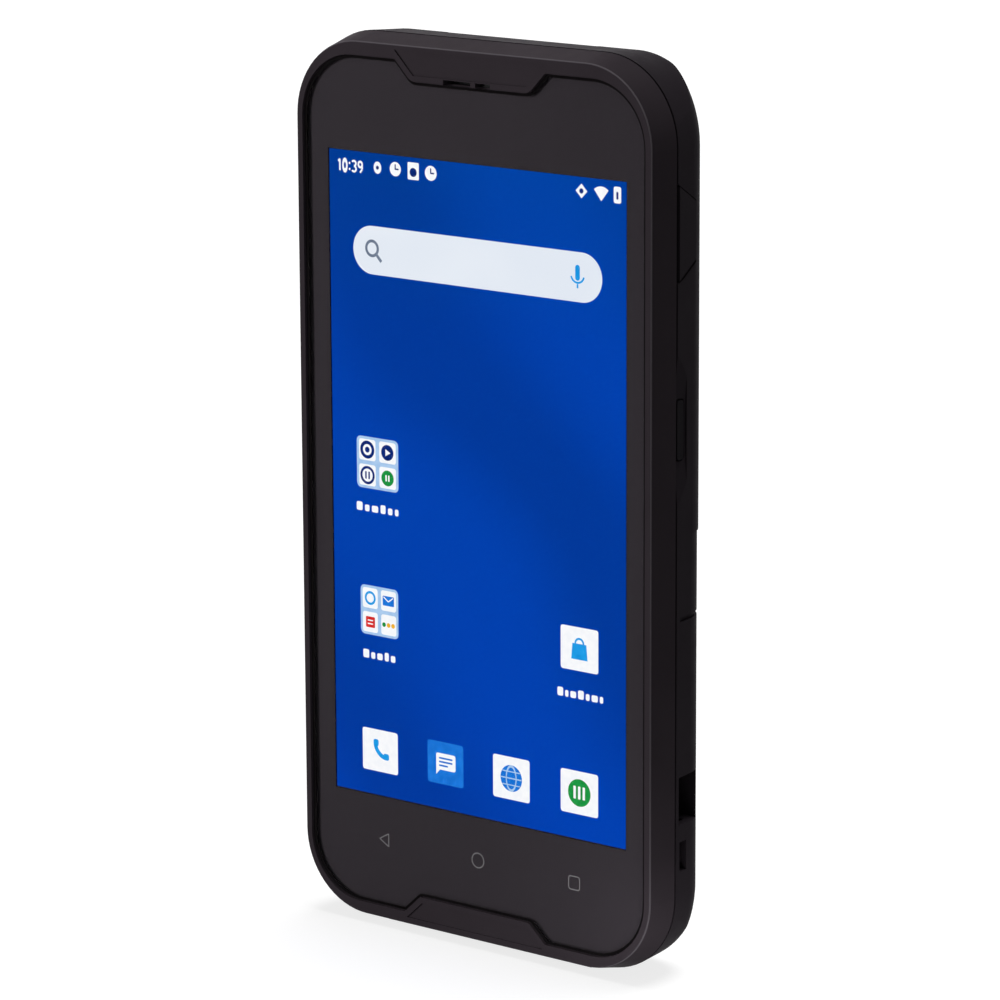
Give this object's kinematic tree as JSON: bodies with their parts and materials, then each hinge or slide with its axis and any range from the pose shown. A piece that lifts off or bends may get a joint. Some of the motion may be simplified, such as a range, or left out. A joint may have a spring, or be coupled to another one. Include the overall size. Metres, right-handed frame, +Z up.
{
  "type": "portable barcode data terminal",
  "caption": "Slab handheld terminal with a touch screen, side scan triggers, a scan window at the top of its back and a hinged battery cover.",
  "frame": {"origin": "centre of the overall box on the face of the foot, which the unit stands on", "axes": "+Z up the unit from its foot to its top, -Y out of the screen, +Y out of the back, +X to the right of someone who reads the screen"},
  "size_m": [0.0772, 0.0164, 0.1535],
  "materials": {
    "housing_black": "fine matt texture",
    "cover_black": "fine matt texture",
    "key_black": "smooth satin",
    "cover_glass": "polished",
    "ink_black": "printed film",
    "adhesive": "foam tape",
    "display": "lit picture",
    "tray_white": "white moulding",
    "magnesium": "cast, matt",
    "silicone": "silicone",
    "screw_steel": "black oxide",
    "copper_film": "polyimide film",
    "battery_wrap": "wrapped",
    "connector_body": "moulded",
    "board_green": "solder mask",
    "shield_steel": "plated",
    "gold_plate": "gold plated",
    "dark_plastic": "moulded",
    "mesh_black": "woven, black",
    "lamp_clear": "clear",
    "lamp_yellow": "phosphor",
    "bezel_aluminium": "anodised",
    "optic_glass": "coated",
    "scan_glass": "dark red filter"
  },
  "bodies": {
    "terminal": {"front_housing": "housing_black", "touch_glass": "cover_glass", "border_film": "ink_black", "glass_adhesive": "adhesive", "display_panel": "display", "backlight": "tray_white", "chassis": "magnesium", "housing_seal": "silicone", "rear_housing": "housing_black", "housing_screws": "screw_steel", "battery_pack": "battery_wrap", "battery_connector": "connector_body", "main_board": "board_green", "processor_shield": "shield_steel", "radio_shield": "shield_steel", "card_reader": "shield_steel", "board_screws": "screw_steel", "charging_board": "board_green", "usb_receptacle": "shield_steel", "microphone": "gold_plate", "vibration_motor": "shield_steel", "dock_contacts": "gold_plate", "earpiece": "dark_plastic", "earpiece_mesh": "mesh_black", "status_lamp": "lamp_clear", "loudspeaker": "dark_plastic", "speaker_mesh": "mesh_black", "camera_module": "dark_plastic", "camera_bezel": "bezel_aluminium", "camera_window": "optic_glass", "flash_led": "lamp_yellow", "flash_lens": "lamp_clear", "scan_engine": "dark_plastic", "scan_window": "scan_glass", "wifi_antenna": "copper_film", "side_flex_right": "copper_film", "side_flex_left": "copper_film", "trigger_switch_right": "shield_steel", "trigger_switch_left": "shield_steel", "power_switch": "shield_steel", "volume_switches": "shield_steel"},
    "battery_cover": {"battery_cover": "cover_black", "cover_seal": "silicone", "nfc_antenna": "copper_film"},
    "trigger_right": {"trigger_right": "key_black"},
    "trigger_left": {"trigger_left": "key_black"},
    "power_key": {"power_key": "key_black"},
    "volume_rocker": {"volume_rocker": "key_black"}
  },
  "joints": [
    {"name": "cover_hinge", "type": "hinge", "parent": "terminal", "child": "battery_cover", "pos_m": [0, 0.0078, 0.01293], "axis": [-1, 0, 0], "range_deg": [0, 45]},
    {"name": "trigger_right_press", "type": "slide", "parent": "terminal", "child": "trigger_right", "axis": [-1, 0, 0], "range_m": [0, 0.00035], "stiffness_N_per_m": 5700},
    {"name": "trigger_left_press", "type": "slide", "parent": "terminal", "child": "trigger_left", "axis": [1, 0, 0], "range_m": [0, 0.00035], "stiffness_N_per_m": 5700},
    {"name": "power_key_press", "type": "slide", "parent": "terminal", "child": "power_key", "axis": [-1, 0, 0], "range_m": [0, 0.0003], "stiffness_N_per_m": 5000},
    {"name": "volume_rocker_tilt", "type": "hinge", "parent": "terminal", "child": "volume_rocker", "pos_m": [-0.03375, -0.00155, 0.0964], "axis": [0, 1, 0], "range_deg": [-1.8, 1.8], "stiffness_Nm_per_rad": 0.33}
  ]
}
